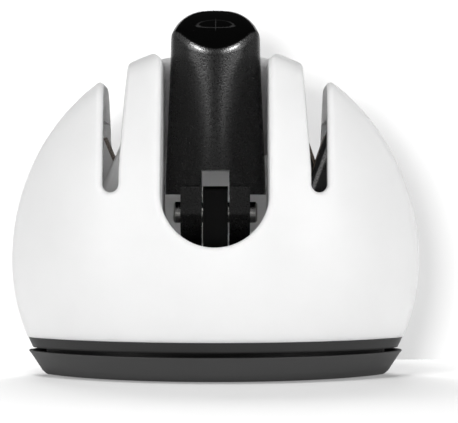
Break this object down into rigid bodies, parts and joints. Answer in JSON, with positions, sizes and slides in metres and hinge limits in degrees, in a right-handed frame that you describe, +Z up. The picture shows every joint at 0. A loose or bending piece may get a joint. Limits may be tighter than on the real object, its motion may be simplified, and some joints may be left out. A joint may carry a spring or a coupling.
{
  "type": "manual knife sharpener",
  "caption": "Hand knife sharpener: a rounded upright body with slots of crossed abrasive stones, on a rubber suction foot that a thumb lever locks to the table.",
  "frame": {"origin": "on the table, under the middle of the rubber foot", "axes": "+Z up, front towards -Y (the side with the lever's recess), +X to the right seen from the front"},
  "size_m": [0.1, 0.062, 0.0901],
  "materials": {
    "shell_white": "smooth white moulded plastic",
    "base_grey": "dark grey moulded plastic",
    "foot_rubber": "soft dark rubber",
    "stem_black": "black moulded plastic",
    "lever_black": "black plastic, grained front, glossy thumb end",
    "pin_steel": "bright steel",
    "plate_steel": "stamped steel",
    "screw_steel": "zinc plated steel",
    "fine_plastic": "pale grey moulded plastic",
    "coarse_plastic": "black moulded plastic",
    "fine_stone": "fine sintered abrasive",
    "coarse_stone": "coarse sintered abrasive"
  },
  "bodies": {
    "housing": {"housing_shell": "shell_white", "base_plate": "base_grey", "base_screws": "screw_steel", "suction_pad": "foot_rubber", "cam_plate": "plate_steel", "cam_plate_screws": "screw_steel", "fine_holder_front": "fine_plastic", "fine_holder_rear": "fine_plastic", "fine_stone_front": "fine_stone", "fine_stone_rear": "fine_stone", "fine_holder_screws": "screw_steel", "coarse_holder_front": "coarse_plastic", "coarse_holder_rear": "coarse_plastic", "coarse_stone_front": "coarse_stone", "coarse_stone_rear": "coarse_stone", "coarse_holder_screws": "screw_steel"},
    "stem": {"pull_stem": "stem_black"},
    "lever": {"lever": "lever_black", "pivot_pin": "pin_steel"}
  },
  "joints": [
    {"name": "stem_slide", "type": "slide", "parent": "housing", "child": "stem", "axis": [0, 0, 1], "range_m": [0, 0.0025], "deforming": ["suction_pad"]},
    {"name": "lever_hinge", "type": "hinge", "parent": "stem", "child": "lever", "pos_m": [0, 0, 0.0398], "axis": [1, 0, 0], "range_deg": [0, 90]}
  ],
  "couplings": [
    {"joint": "stem_slide", "follows": "lever_hinge", "m_per_rad": 0.0015915}
  ]
}
